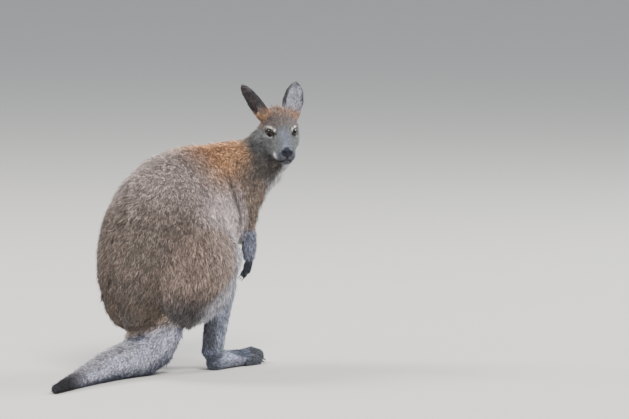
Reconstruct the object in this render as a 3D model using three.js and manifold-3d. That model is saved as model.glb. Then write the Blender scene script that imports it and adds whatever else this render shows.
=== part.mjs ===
// A red-necked wallaby resting on its hind feet and tail, looking back over its right shoulder.
// Millimetres, +Z up. The animal faces -Y, so its right side is at -X, and it stands on Z = 0.
// The flesh is drawn out to the tips of the coat, then parted where a person would name the parts.
import * as THREE from "three";
import { LoftGeometry } from "three/addons/geometries/LoftGeometry.js";
import { mergeVertices } from "three/addons/utils/BufferGeometryUtils.js";
import Module from "manifold-3d";

const wasm = await Module();
wasm.setup();

// ---- Driving sizes -------------------------------------------------------------------------
const CLEARANCE = 0.35; // between neighbouring parts
const FLATNESS = 0.12; // facets flatter than this are joined
const HIP_SPREAD = 88; // middle of each hind leg, to the side of the spine
const FOOT_LENGTH = 212; // heel to the tip of the fourth toe, without the claw
const LEFT_FOOT_BACK = 44; // the left foot stands this much further back
const LEFT_TOES_OUT = 25; // degrees that the left foot is turned outwards
const EYE_RADIUS = 12;
const EYE_SPREAD = 21; // middle of each eye, to the side of the nose line
const EYE_BACK = -8.5; // and its place in the head, from the point between the eyes
const EYE_UP = 5.5;
const HEAD_TURN = -134; // degrees about Z, to the animal's right
const HEAD_NOD = 7; // degrees, nose down
const EYES_AT = [-137, -192, 516]; // point between the eyes
const TAIL_TIP = [-59, 550, 10];
const PUFF_ANGLE = 0.65; // radians above or below the wide line of an oval
const PUFF_SPREAD = 0.5;

// ---- Colours of the coat -------------------------------------------------------------------
const COAT = {
  back: { color: 0x7d6a58, roughness: 0.95 },
  haunch: { color: 0x7a6755, roughness: 0.95 },
  nape: { color: 0x9a6440, roughness: 0.95 },
  face: { color: 0x6f665c, roughness: 0.92 },
  limb: { color: 0x76777a, roughness: 0.92 },
  paw: { color: 0x2b2c31, roughness: 0.85 },
  tail: { color: 0x93928f, roughness: 0.95 },
  tailTip: { color: 0x3a393b, roughness: 0.95 },
  ear: { color: 0x4c4844, roughness: 0.9 },
  nose: { color: 0x16161a, roughness: 0.45 },
  eye: { color: 0x0c0a09, roughness: 0.05 },
  claw: { color: 0x1d1b1a, roughness: 0.4 },
};

// ---- Solids --------------------------------------------------------------------------------
const radians = THREE.MathUtils.degToRad;
const point = (p) => new THREE.Vector3(...p);
const mirrored = ([x, y, z], side) => [x * side, y, z];

function solidOf(geometry, matrix = new THREE.Matrix4()) {
  const bare = new THREE.BufferGeometry()
    .setAttribute("position", geometry.getAttribute("position"))
    .setIndex(geometry.index)
    .applyMatrix4(matrix);
  const merged = mergeVertices(bare, 1e-4);
  return new wasm.Manifold(
    new wasm.Mesh({
      numProp: 3,
      vertProperties: merged.attributes.position.array,
      triVerts: new Uint32Array(merged.index.array),
    }),
  );
}

// One oval ring: wide to each side, up and down are its half-heights above and below the middle.
// puff swells it on both flanks, by a share, half way above and half way below its wide line.
function ovalRing(middle, side, height, [wide, up, down], puff, around) {
  return Array.from({ length: around }, (_, i) => {
    const a = (i / around) * 2 * Math.PI;
    const rise = Math.atan2(Math.sin(a), Math.abs(Math.cos(a)));
    const near = (angle) => Math.exp(-(((rise - angle) / PUFF_SPREAD) ** 2));
    const swell = 1 + puff.x * near(PUFF_ANGLE) + puff.y * near(-PUFF_ANGLE);
    const tall = Math.sin(a) > 0 ? up : down;
    return middle
      .clone()
      .addScaledVector(side, Math.cos(a) * wide * swell)
      .addScaledVector(height, Math.sin(a) * tall * swell);
  });
}

// A body through ovals strung along a smooth line. Each section is { at, half: [wide, up, down] },
// and across is the direction of its wide side. Both ends are rounded off over round mm.
function oval(sections, options = {}) {
  const { around = 12, rings = sections.length, caps = 2, round = [12, 12] } = options;
  const { across = [1, 0, 0], grow = 0, matrix } = options;
  const along = (of) => new THREE.CatmullRomCurve3(sections.map((s) => point(of(s))));
  const line = along((s) => s.at);
  const sizes = along((s) => s.half);
  const sides = along((s) => s.across ?? across);
  const puffs = along((s) => [...(s.puff ?? [0, 0]), 0]);
  const outlines = [];
  const addRing = (t, share, beyond) => {
    const forward = line.getTangent(t);
    const side = sides.getPoint(t).projectOnPlane(forward).normalize();
    const height = forward.clone().cross(side);
    const middle = line.getPoint(t).addScaledVector(forward, beyond);
    const half = sizes.getPoint(t).addScalar(grow).multiplyScalar(share).toArray();
    outlines.push(ovalRing(middle, side, height, half, puffs.getPoint(t), around));
  };
  const capAngles = Array.from({ length: caps }, (_, i) => ((i + 0.2) / caps) * 0.5 * Math.PI);
  for (const a of capAngles) addRing(0, Math.sin(a), -Math.cos(a) * (round[0] + grow));
  for (let i = 0; i < rings; i++) addRing(i / (rings - 1), 1, 0);
  for (const a of capAngles.toReversed()) addRing(1, Math.sin(a), Math.cos(a) * (round[1] + grow));
  return solidOf(new LoftGeometry(outlines, { capStart: true, capEnd: true }), matrix);
}

// An ellipsoid at a place, with its three radii.
function egg(at, radii, { grow = 0, matrix = new THREE.Matrix4(), around = 12 } = {}) {
  const place = new THREE.Matrix4().compose(
    point(at),
    new THREE.Quaternion(),
    point(radii.map((r) => r + grow)),
  );
  return solidOf(new THREE.SphereGeometry(1, around, around / 2), matrix.clone().multiply(place));
}

// Everything beyond a plane through a point, as a big block.
function beyondPlane(at, normal, reach = 900) {
  const up = new THREE.Vector3(0, 0, 1);
  const turn = new THREE.Quaternion().setFromUnitVectors(up, point(normal).normalize());
  const place = new THREE.Matrix4().compose(point(at), turn, new THREE.Vector3(1, 1, 1));
  return solidOf(new THREE.BoxGeometry(2 * reach, 2 * reach, reach).translate(0, 0, reach / 2), place);
}

const joined = (solids) => solids.reduce((all, one) => all.add(one));
const without = (solid, others) => others.reduce((left, one) => left.subtract(one), solid);
const largest = (solid) =>
  solid.decompose().reduce((best, one) => (one.volume() > best.volume() ? one : best));

// The near and the far side of a plane, with the clearance between them.
function parted(solid, at, normal) {
  const n = point(normal).normalize();
  const shifted = (by) => point(at).addScaledVector(n, by).toArray();
  return [
    solid.subtract(beyondPlane(shifted(-CLEARANCE / 2), n.toArray())),
    solid.subtract(beyondPlane(shifted(CLEARANCE / 2), n.clone().negate().toArray())),
  ];
}
const floor = beyondPlane([0, 0, 0], [0, 0, -1]);

// ---- Trunk, neck and tail ------------------------------------------------------------------
const trunkSections = [
  { at: [0, 178, 158], half: [68, 66, 58], puff: [0, 0] },
  { at: [0, 164, 200], half: [96, 102, 92], puff: [0, 0.04] },
  { at: [0, 126, 244], half: [119, 142, 128], puff: [0, 0.1] },
  { at: [0, 70, 284], half: [127, 176, 160], puff: [0, 0.12] },
  { at: [0, 0, 320], half: [118, 178, 162], puff: [0, 0.06] },
  { at: [-4, -72, 348], half: [97, 155, 142], puff: [0, 0] },
  { at: [-18, -142, 376], half: [78, 133, 108], puff: [0, 0] },
  { at: [-42, -190, 406], half: [62, 90, 68], puff: [0, 0] },
];
const neckSections = [
  { at: [-18, -146, 400], half: [70, 120, 84] },
  { at: [-50, -190, 436], half: [62, 84, 80] },
  { at: [-86, -214, 472], half: [58, 46, 66] },
  { at: [-114, -210, 504], half: [53, 46, 54], across: [0.7, 0.7, 0] },
];
// The tail runs backwards, so its ovals lean the other way round: [wide, below, above].
const tailSections = [
  { at: [0, 92, 140], half: [62, 54, 54] },
  { at: [-2, 108, 84], half: [62, 56, 50] },
  { at: [0, 150, 44], half: [56, 50, 42] },
  { at: [3, 210, 32], half: [44, 38, 41] },
  { at: [-1, 280, 26], half: [36, 30, 36] },
  { at: [-12, 355, 20], half: [28, 24, 26] },
  { at: [-29, 435, 15], half: [20, 19, 18] },
  { at: [-45, 500, 11], half: [14, 14, 14] },
  { at: TAIL_TIP, half: [8, 9, 9] },
];
const trunkOf = (grow = 0) =>
  oval(trunkSections, { around: 22, rings: 10, caps: 3, round: [62, 30], grow });
const neckOf = (grow = 0) => oval(neckSections, { around: 14, rings: 5, caps: 1, round: [10, 10], grow });
const tailOf = (grow = 0) =>
  oval(tailSections, { around: 12, rings: 11, round: [20, 10], grow }).subtract(floor);

// ---- Hind legs: side is 1 for the left, -1 for the right -------------------------------------
const footBack = (side) => (side > 0 ? LEFT_FOOT_BACK : 0);
const THIGH_SHARE = 0.1; // how much of that the thigh takes up, the rest being the knee's bend

function thighOf(side, grow = 0) {
  const at = (out, y, z) => [side * (HIP_SPREAD + out), y + footBack(side) * THIGH_SHARE, z];
  const sections = [
    { at: at(-32, 164, 182), half: [38, 66, 80] },
    { at: at(-14, 116, 206), half: [50, 104, 122] },
    { at: at(0, 44, 232), half: [52, 110, 118] },
    { at: at(0, -26, 252), half: [45, 82, 82] },
    { at: at(-5, -68, 256), half: [35, 52, 50] },
  ];
  return oval(sections, { around: 14, rings: 6, caps: 3, round: [44, 24], grow });
}

function shinOf(side, grow = 0) {
  const at = (out, y, z) => [side * (HIP_SPREAD + out), y + footBack(side), z];
  const sections = [
    { at: at(-7, -58 - footBack(side) * 0.8, 244), half: [32, 38, 42] },
    { at: at(-5, -46 - footBack(side) * 0.55, 196), half: [28, 34, 46] },
    { at: at(-3, -22 - footBack(side) * 0.25, 130), half: [25, 30, 36] },
    { at: at(-2, -6 - footBack(side) * 0.06, 78), half: [23, 27, 33] },
    { at: at(-2, 2, 34), half: [22, 25, 30] },
  ];
  return oval(sections, { around: 10, rings: 5, caps: 1, round: [12, 20], grow });
}

// A hind foot: a long sole, the great fourth toe, the fifth outside it, and two thin toes joined
// in one skin inside it. Places along it are shares of the foot's length from the heel.
const HEEL_BEHIND = 16; // the heel is this far behind the ankle
function footPoint(side, out, share, z) {
  const turn = side > 0 ? radians(LEFT_TOES_OUT) : 0;
  const ahead = share * FOOT_LENGTH - HEEL_BEHIND; // of the ankle
  return [
    side * (HIP_SPREAD + out * Math.cos(turn) + ahead * Math.sin(turn)),
    footBack(side) - ahead * Math.cos(turn) + out * Math.sin(turn),
    z,
  ];
}
const soleSections = [
  { at: [-1, 0.08, 20], half: [19, 22, 25] },
  { at: [-1, 0.24, 20], half: [19, 22, 24] },
  { at: [-2, 0.44, 18], half: [20, 20, 22] },
  { at: [-3, 0.62, 17], half: [24, 20, 22] },
];
const toeSections = {
  fourth_toe: [
    { at: [-3, 0.58, 18], half: [17, 19, 22] },
    { at: [-4, 0.78, 20], half: [14, 20, 24] },
    { at: [-6, 0.95, 15], half: [12, 15, 20] },
  ],
  fifth_toe: [
    { at: [14, 0.56, 14], half: [9, 13, 17] },
    { at: [18, 0.67, 13], half: [9, 12, 16] },
    { at: [20, 0.77, 9], half: [7, 8, 12] },
  ],
  inner_toes: [
    { at: [-18, 0.54, 13], half: [8, 10, 16] },
    { at: [-22, 0.63, 12], half: [8, 9, 15] },
    { at: [-23, 0.71, 9], half: [7, 6, 12] },
  ],
};
const clawEnds = {
  claw_4: { on: "fourth_toe", from: [-6, 0.955, 9.5], to: [-7, 1.075, 2.4], size: 5 },
  claw_5: { on: "fifth_toe", from: [20, 0.78, 8.5], to: [21, 0.865, 2.2], size: 3.8 },
  claw_3: { on: "inner_toes", from: [-20, 0.72, 7.5], to: [-20.5, 0.785, 2], size: 2.3 },
  claw_2: { on: "inner_toes", from: [-26, 0.715, 7.5], to: [-27, 0.78, 2], size: 2.3 },
};
const onFoot = (side, sections) =>
  sections.map(({ at, half }) => ({ at: footPoint(side, ...at), half }));
const soleOf = (side, grow = 0) =>
  oval(onFoot(side, soleSections), { around: 10, round: [16, 10], grow });
const toeOf = (side, name, grow = 0) =>
  oval(onFoot(side, toeSections[name]), { around: 8, round: [6, 8], grow });

// A claw tapers from its root, sags a little and ends in a blunt point.
function clawBetween(root, tip, size, grow = 0) {
  const middle = root.map((v, i) => v + (tip[i] - v) * 0.55);
  middle[2] += size * 0.3;
  const sections = [
    { at: root, half: [size, size, size] },
    { at: middle, half: [size * 0.7, size * 0.7, size * 0.7] },
    { at: tip, half: [size * 0.3, size * 0.3, size * 0.3] },
  ];
  return oval(sections, { around: 5, caps: 1, round: [size * 0.4, size * 0.4], grow });
}
const toeClawOf = (side, { from, to, size }, grow = 0) =>
  clawBetween(footPoint(side, ...from), footPoint(side, ...to), size, grow);

// ---- Fore limbs ----------------------------------------------------------------------------
const SHOULDERS = { right: [-71.5, -173, 404], left: [36, -206, 398] };
const FINGER_SPACING = 5.2;
const FINGER_END = 3; // how far the rounded fingertip reaches past its last oval
function armFrame(side) {
  const shoulder = SHOULDERS[side > 0 ? "left" : "right"];
  return (out, y, z) => [shoulder[0] + side * out, shoulder[1] + y, z];
}
function upperArmOf(side, grow = 0) {
  const at = armFrame(side);
  const sections = [
    { at: at(-10, 2, 408), half: [26, 34, 34] },
    { at: at(2, 10, 368), half: [23, 30, 30] },
    { at: at(8, 20, 328), half: [18, 22, 23] },
    { at: at(8, 26, 302), half: [15, 17, 18] },
  ];
  return oval(sections, { around: 8, caps: 1, round: [16, 12], grow });
}
function forearmOf(side, grow = 0) {
  const at = armFrame(side);
  const sections = [
    { at: at(7, 26, 300), half: [18, 17.5, 18.5] },
    { at: at(7, 22, 268), half: [17, 16.5, 17] },
    { at: at(5, 19, 238), half: [13, 13, 13] },
  ];
  return oval(sections, { around: 8, caps: 1, round: [10, 8], grow });
}
function palmOf(side, grow = 0) {
  const at = armFrame(side);
  const sections = [
    { at: at(5, 19, 231), half: [8, 10.5, 10.5] },
    { at: at(3, 22, 218), half: [8, 13, 13] },
    { at: at(2, 25, 207), half: [7, 12.5, 12.5] },
  ];
  return oval(sections, { around: 8, caps: 1, round: [6, 6], grow });
}
// Fingers fan out from the palm, the middle one longest; n runs from -2 to 2.
function fingerEnds(side, n) {
  const at = armFrame(side);
  const fan = n * FINGER_SPACING;
  const short = Math.abs(n);
  return {
    root: at(2, 27 + fan * 0.8, 210 + short),
    tip: at(0, 33 + fan * 1.2, 195 + short * 3),
    clawTip: at(-3, 40 + fan * 1.25, 186 + short * 3.2),
  };
}
function fingerOf(side, n, grow = 0) {
  const { root, tip } = fingerEnds(side, n);
  const sections = [
    { at: root, half: [3.6, 3.4, 3.4] },
    { at: tip, half: [2.9, 2.8, 2.8] },
  ];
  return oval(sections, { around: 5, caps: 1, round: [FINGER_END, FINGER_END], grow });
}
function fingerClawOf(side, n) {
  const { root, tip, clawTip } = fingerEnds(side, n);
  const beyond = point(tip).sub(point(root)).setLength(FINGER_END + 1).add(point(tip));
  return clawBetween(beyond.toArray(), clawTip, 1.8);
}

// ---- Head, built facing -Y about the point between the eyes ---------------------------------
const headPlace = new THREE.Matrix4().compose(
  point(EYES_AT),
  new THREE.Quaternion().setFromEuler(new THREE.Euler(radians(HEAD_NOD), 0, radians(HEAD_TURN), "ZXY")),
  new THREE.Vector3(1, 1, 1),
);
const inHead = (p) => point(p).applyMatrix4(headPlace).toArray();

// puff gives the brows, then the cheeks and, nearer the nose, the whisker pads.
const skullSections = [
  { at: [0, 52, -8], half: [42, 46, 46], puff: [0, 0.04] },
  { at: [0, 30, -6], half: [47, 60, 48], puff: [0.02, 0.1] },
  { at: [0, 8, -8], half: [43, 53, 48], puff: [0.05, 0.14] },
  { at: [0, -14, -14], half: [32, 38, 44], puff: [0.06, 0.1] },
  { at: [0, -34, -22], half: [24.5, 28, 36], puff: [0, 0.1] },
  { at: [0, -52, -29], half: [21.5, 22, 30], puff: [0, 0.2] },
  { at: [0, -66, -32], half: [18, 17, 25], puff: [0, 0.12] },
];
const headOf = (grow = 0) =>
  oval(skullSections, { around: 18, rings: 8, caps: 3, round: [14, 10], matrix: headPlace, grow });
const eyePlace = (side) => inHead([side * EYE_SPREAD, EYE_BACK, EYE_UP]);
const eyeOf = (side, grow = 0) => egg(eyePlace(side), Array(3).fill(EYE_RADIUS), { grow, around: 12 });
const lidsOpening = (side) =>
  egg([side * (EYE_SPREAD + 11), EYE_BACK - 10, EYE_UP], [13, 13, 10], { matrix: headPlace, around: 10 });
const noseOf = (grow = 0) =>
  egg([0, -72, -26], [12.5, 7.5, 10.5], { grow, matrix: headPlace, around: 10 });

// An ear is a scoop: an oval horn with a narrower one cut out of its front.
// turn is how far its opening is swung outwards from straight ahead, in degrees.
const EARS = {
  left: { side: 1, root: [25, 24, 28], tip: [39, 34, 110], turn: 12, breadth: 1.18 },
  right: { side: -1, root: [-29, 22, 30], tip: [-84, 34, 106], turn: 68, breadth: 1 },
};
const earOutline = [[0, 15, 14], [0.22, 20, 15], [0.5, 22.5, 12], [0.78, 18, 9], [0.94, 10, 6]];
const earHollow = [[0.2, 9, 8], [0.34, 14.5, 10], [0.54, 18, 10], [0.76, 14, 8], [0.9, 7, 6]];
const HOLLOW_FORWARD = 7.5;
function earOf({ side, root, tip, turn, breadth }, grow = 0) {
  const swing = radians(side * turn);
  const facing = new THREE.Vector3(Math.sin(swing), -Math.cos(swing), 0);
  const axis = point(tip).sub(point(root));
  const across = facing.clone().cross(axis).normalize().toArray();
  const horn = (rows, forward) =>
    oval(
      rows.map(([share, wide, deep]) => ({
        at: point(root).addScaledVector(axis, share).addScaledVector(facing, forward).toArray(),
        half: [wide * breadth, deep, deep],
      })),
      { around: 10, caps: 1, round: [3, 6], across, matrix: headPlace, grow },
    );
  const outer = horn(earOutline, 0);
  return grow ? outer : largest(outer.subtract(horn(earHollow, HOLLOW_FORWARD)));
}

// ---- Parting the animal ----------------------------------------------------------------------
const animal = new THREE.Group();
function addPart(name, coat, solid) {
  const mesh = largest(solid).asOriginal().simplify(FLATNESS).getMesh();
  const geometry = new THREE.BufferGeometry()
    .setAttribute("position", new THREE.BufferAttribute(mesh.vertProperties, 3))
    .setIndex(new THREE.BufferAttribute(mesh.triVerts, 1));
  const part = new THREE.Mesh(geometry, new THREE.MeshStandardMaterial({ metalness: 0, ...coat }));
  part.name = name;
  animal.add(part);
}
const sides = [["left", 1], ["right", -1]];

// The head: eyes, nose and ears are let into the skull.
const ears = Object.values(EARS);
const grownEars = ears.map((ear) => earOf(ear, CLEARANCE));
const sockets = ears.flatMap(({ side }) => [eyeOf(side, CLEARANCE), lidsOpening(side)]);
addPart("head", COAT.face, without(headOf(), [...sockets, noseOf(CLEARANCE), ...grownEars]));
addPart("nose", COAT.nose, noseOf());
for (const [sideName, ear] of Object.entries(EARS)) {
  addPart(`ear_${sideName}`, COAT.ear, earOf(ear));
  addPart(`eye_${sideName}`, COAT.eye, eyeOf(ear.side));
}

// The tail drops out of the underside of the rump and is named in three lengths.
const tail = tailOf().subtract(trunkOf(CLEARANCE));
const [tailRoot, tailRest] = parted(largest(tail), [4, 240, 40], [0, 1, -0.1]);
const [tailMiddle, tailEnd] = parted(tailRest, [-16, 392, 24], [-0.2, 1, 0]);
addPart("tail_root", COAT.tail, tailRoot);
addPart("tail_middle", COAT.tail, tailMiddle);
addPart("tail_end", COAT.tailTip, tailEnd);

// Thighs and shoulders are rounded plates let into the sides of the trunk.
const haunch = (side, grow = 0) =>
  egg([side * 126, 58 + footBack(side) * THIGH_SHARE, 200], [88, 160, 134], { grow, around: 14 });
const shoulder = (side, grow = 0) => {
  const [x, y, z] = armFrame(side)(26, 6, 372);
  return egg([x, y, z], [32, 42, 52], { grow, around: 8 });
};
let remaining = joined([trunkOf(), neckOf()]);
for (const [sideName, side] of sides) {
  const kneePlane = [[0, -30 + footBack(side) * 0.4, 160], [0, -0.6, -0.8]];
  const anklePlane = [[0, footBack(side), 46], [0, 0.25, -1]];
  const plate = haunch(side).intersect(joined([remaining, thighOf(side)]));
  const leg = without(joined([largest(plate), shinOf(side)]), [tailOf(CLEARANCE)]);
  const [thigh, belowKnee] = parted(leg, ...kneePlane);
  const [shin, foot] = parted(joined([largest(belowKnee), soleOf(side)]), ...anklePlane);
  addPart(`thigh_${sideName}`, COAT.haunch, thigh);
  addPart(`shin_${sideName}`, COAT.limb, shin);
  addPart(`foot_${sideName}`, COAT.limb, foot.subtract(floor));
  remaining = without(remaining, [haunch(side, CLEARANCE), shinOf(side, CLEARANCE)]);

  const earlier = [soleOf(side, CLEARANCE), floor];
  for (const name of Object.keys(toeSections)) {
    addPart(`${name}_${sideName}`, COAT.paw, without(toeOf(side, name), earlier));
    earlier.push(toeOf(side, name, CLEARANCE));
  }
  for (const [name, ends] of Object.entries(clawEnds)) {
    const claw = without(toeClawOf(side, ends), [toeOf(side, ends.on, CLEARANCE), floor]);
    addPart(`${name}_${sideName}`, COAT.claw, claw);
  }
}
for (const [sideName, side] of sides) {
  const around = [trunkOf(CLEARANCE), neckOf(CLEARANCE), thighOf(side, CLEARANCE)];
  const plate = shoulder(side).intersect(joined([remaining, upperArmOf(side)]));
  const free = without(joined([upperArmOf(side), forearmOf(side)]), around);
  const arm = joined([largest(plate), free]);
  const [upperArm, forearm] = parted(arm, armFrame(side)(8, 24, 304), [0, 0.15, -1]);
  addPart(`upper_arm_${sideName}`, COAT.back, upperArm);
  addPart(`forearm_${sideName}`, COAT.limb, forearm);
  remaining = without(remaining, [shoulder(side, CLEARANCE), upperArmOf(side, CLEARANCE)]);

  const fingers = [-2, -1, 0, 1, 2];
  const hand = joined([palmOf(side), ...fingers.map((n) => fingerOf(side, n))]);
  addPart(`hand_${sideName}`, COAT.paw, without(hand, [forearmOf(side, CLEARANCE)]));
  for (const n of fingers) {
    addPart(`finger_claw_${n + 3}_${sideName}`, COAT.claw, fingerClawOf(side, n));
  }
}

// What is left is the trunk in three lengths and the neck, which runs up into the skull.
const [body, neck] = parted(remaining, [-30, -176, 420], [-0.42, -0.5, 0.76]);
const [rump, forebody] = parted(body, [0, 90, 300], [0, -1, 0.35]);
const [abdomen, chest] = parted(forebody, [0, -90, 350], [0, -1, 0.3]);
addPart("neck", COAT.nape, without(neck, [headOf(CLEARANCE), ...grownEars]));
addPart("rump", COAT.haunch, rump);
addPart("abdomen", COAT.back, abdomen);
addPart("chest", COAT.back, chest);

// Stand the animal with the middle of its footprint at the origin.
const bounds = new THREE.Box3().setFromObject(animal, true);
const middle = bounds.getCenter(new THREE.Vector3());
animal.position.set(-middle.x, -middle.y, -bounds.min.z);

const wallaby = new THREE.Group();
wallaby.add(animal);
export default wallaby;
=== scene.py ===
import math
import bpy
import bmesh
import numpy as np
from mathutils import Matrix, Vector
from mathutils.bvhtree import BVHTree
from mathutils.kdtree import KDTree


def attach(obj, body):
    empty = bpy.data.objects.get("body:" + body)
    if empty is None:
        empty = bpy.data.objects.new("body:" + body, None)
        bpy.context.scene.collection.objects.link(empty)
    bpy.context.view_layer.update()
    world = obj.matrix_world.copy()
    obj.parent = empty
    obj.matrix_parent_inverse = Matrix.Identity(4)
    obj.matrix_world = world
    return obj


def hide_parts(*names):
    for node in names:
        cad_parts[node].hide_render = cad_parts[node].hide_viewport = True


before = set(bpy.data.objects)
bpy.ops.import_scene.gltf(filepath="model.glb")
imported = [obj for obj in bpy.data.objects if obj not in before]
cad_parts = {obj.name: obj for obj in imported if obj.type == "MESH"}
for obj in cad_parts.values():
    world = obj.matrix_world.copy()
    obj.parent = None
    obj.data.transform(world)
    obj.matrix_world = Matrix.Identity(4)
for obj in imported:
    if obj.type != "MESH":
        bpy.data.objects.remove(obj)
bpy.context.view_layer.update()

# The animal faces -Y with its right side at -X, and looks back over its right shoulder.
# Sizes below are in millimetres about its own middle; placed() puts them where the model stands.
mm = 0.001
standsAt = Vector((8.6448, -141.1834, 0.0))
headAt, headTurn, headNod = (-137, -192, 516), -134, 7


def placed(x, y, z):
    return (Vector((x, y, z)) + standsAt) * mm


headFrame = (Matrix.Translation(placed(*headAt)) @ Matrix.Rotation(math.radians(headTurn), 4, "Z")
             @ Matrix.Rotation(math.radians(headNod), 4, "X"))
headAxes = np.array(headFrame.to_3x3())
headCentre = np.array(headFrame.translation)


def headPoint(x, y, z):
    return headFrame @ (Vector((x, y, z)) * mm)


def inHead(points):            # millimetres in the head's own axes: nose towards -Y, crown up
    return (points - headCentre) @ headAxes / mm


def tone(red, green, blue):    # a screen colour as light
    parts = [c / 255 for c in (red, green, blue)]
    return np.array([c / 12.92 if c <= 0.04045 else ((c + 0.055) / 1.055) ** 2.4 for c in parts])


def smoothStep(value, low, high):
    t = np.clip((value - low) / (high - low), 0, 1)
    return t * t * (3 - 2 * t)


def deselectAll():
    if bpy.context.object and bpy.context.object.mode != "OBJECT":
        bpy.ops.object.mode_set(mode="OBJECT")
    bpy.ops.object.select_all(action="DESELECT")


def activate(piece):
    deselectAll()
    piece.select_set(True)
    bpy.context.view_layer.objects.active = piece


def applyModifier(piece, kind, **settings):
    activate(piece)
    modifier = piece.modifiers.new(kind.lower(), kind)
    for key, value in settings.items():
        setattr(modifier, key, value)
    bpy.ops.object.modifier_apply(modifier=modifier.name)


def vertexArray(mesh):
    co = np.empty(len(mesh.vertices) * 3, np.float32)
    mesh.vertices.foreach_get("co", co)
    return co.reshape(-1, 3).astype(float)


def normalArray(mesh):
    no = np.empty(len(mesh.vertices) * 3, np.float32)
    mesh.vertex_normals.foreach_get("vector", no)
    return no.reshape(-1, 3).astype(float)


def edgeArray(mesh):
    ends = np.empty(len(mesh.edges) * 2, np.int32)
    mesh.edges.foreach_get("vertices", ends)
    return ends.reshape(-1, 2)


def moveVertices(mesh, points):
    mesh.vertices.foreach_set("co", points.astype(np.float32).ravel())
    mesh.update()


def spread(values, edges, rounds, share=0.5):    # evens a value out between neighbouring points
    a, b = np.concatenate([edges[:, 0], edges[:, 1]]), np.concatenate([edges[:, 1], edges[:, 0]])
    count = np.maximum(np.bincount(a, minlength=len(values)), 1)
    values = values.astype(float)
    flat = values.reshape(len(values), -1)
    for _ in range(rounds):
        mean = np.stack([np.bincount(a, flat[b, i], len(flat)) for i in range(flat.shape[1])], 1)
        flat = flat + (mean / count[:, None] - flat) * share
    return flat.reshape(values.shape)


def patchOn(local, at, size):  # 1 in the middle of a soft spot, 0 outside it
    return np.exp(-np.sum(((local - at) / size) ** 2, axis=1))


def unit(vectors):
    return vectors / np.maximum(np.linalg.norm(vectors, axis=-1, keepdims=True), 1e-9)


# ---- Camera, light and floor
view = {"azimuth": 214, "elevation": 5, "at": (-6.9308, 9.6174, 1.4012), "lens": 309.06,
        "key": 900, "rim": 420, "fill": 60, "edge": 260, "sky": 0.62}


def addCamera():
    deselectAll()
    turn = (math.radians(90 - view["elevation"]), 0, math.radians(view["azimuth"]))
    bpy.ops.object.camera_add(location=view["at"], rotation=turn)
    camera = bpy.context.object
    camera.name = "camera"
    camera.data.sensor_width = 36
    camera.data.lens = view["lens"]
    camera.data.clip_end = 60
    bpy.context.scene.camera = camera


def addLight(name, place, power, size, colour):
    deselectAll()
    bpy.ops.object.light_add(type="AREA", location=place)
    light = bpy.context.object
    light.name = name
    light.data.energy, light.data.size, light.data.color = power, size, colour
    away = Vector(place) - Vector((0, 0, 0.3))
    light.rotation_euler = away.to_track_quat("Z", "Y").to_euler()


def addStudio():
    world = bpy.data.worlds.new("sky")
    world.use_nodes = True
    world.node_tree.nodes["Background"].inputs[0].default_value = (0.86, 0.92, 1.0, 1)
    world.node_tree.nodes["Background"].inputs[1].default_value = view["sky"]
    bpy.context.scene.world = world
    addLight("keyLight", (-4.6, 3.2, 6.6), view["key"], 3.0, (1.0, 0.97, 0.92))
    addLight("rimLight", (4.4, 0.6, 4.8), view["rim"], 2.4, (1.0, 0.98, 0.95))
    addLight("fillLight", (3.0, 6.5, 2.2), view["fill"], 4.0, (0.88, 0.93, 1.0))
    addLight("edgeLight", (-1.6, -4.8, 3.4), view["edge"], 2.0, (0.95, 0.97, 1.0))
    deselectAll()
    bpy.ops.mesh.primitive_plane_add(size=60, location=(0, 0, 0))
    floor = bpy.context.object
    floor.name = "floor"
    material = bpy.data.materials.new("paleFloor")
    material.use_nodes = True
    shader = material.node_tree.nodes["Principled BSDF"]
    shader.inputs["Base Color"].default_value = (0.62, 0.6, 0.57, 1)
    shader.inputs["Roughness"].default_value = 0.9
    floor.data.materials.append(material)


addCamera()
addStudio()
print("camera, light and floor in place")

# ---- Where each kind of coat grows: lie is the way the hair points, depth how far the skin lies under the
# tips of the coat, in mm. The dense short hair has longer guard hair standing through it.
sides = {"left": 1, "right": -1}


def lieOfHead(x, y, z):
    return tuple(headAxes @ np.array((x, y, z)))


earLie = {"left": lieOfHead(16, 10, 82), "right": lieOfHead(-55, 12, 76)}

# hair and guard: length, width, how high the tips stand, and the room between two tufts (0 for none)
coatOf = {
    "rump": dict(lie=(0, 0.55, -0.83), depth=7.2, hair=(13, 2.0, 6.2, 1.9), guard=(16, 1.4, 8.2, 3.3)),
    "abdomen": dict(lie=(0, 0.66, -0.75), depth=7.2, hair=(13, 2.0, 6.2, 1.9), guard=(16, 1.4, 8.2, 3.3)),
    "chest": dict(lie=(0.1, 0.62, -0.78), depth=7.5, hair=(13, 2.0, 6.0, 1.9), guard=(16, 1.4, 8, 3.3)),
    "neck": dict(lie=(0.36, 0.62, -0.7), depth=7, hair=(13, 2.0, 5.6, 1.9), guard=(17, 1.4, 8, 3.3)),
    "head": dict(lie=lieOfHead(0, 1, -0.25), depth=3.4, hair=(6, 1.2, 2.4, 1.4), guard=(12, 1.1, 4, 3.2)),
    "nose": dict(lie=lieOfHead(0, 1, 0.3), depth=0.2, hair=(2, 0.7, 0.4, 1.6), guard=(4, 0.7, 1, 0)),
    "tail_root": dict(lie=(0, 0.85, -0.52), depth=3.2, hair=(12, 2.1, 5.2, 2.0), guard=(17, 1.4, 7, 3.6)),
    "tail_middle": dict(lie=(-0.1, 1, -0.05), depth=2.8, hair=(11, 2.0, 4.2, 1.7), guard=(16, 1.4, 5.5, 3.0)),
    "tail_end": dict(lie=(-0.28, 1, -0.03), depth=2.8, hair=(8, 1.8, 3.6, 1.7), guard=(11, 1.4, 4.6, 2.6)),
}
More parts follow.
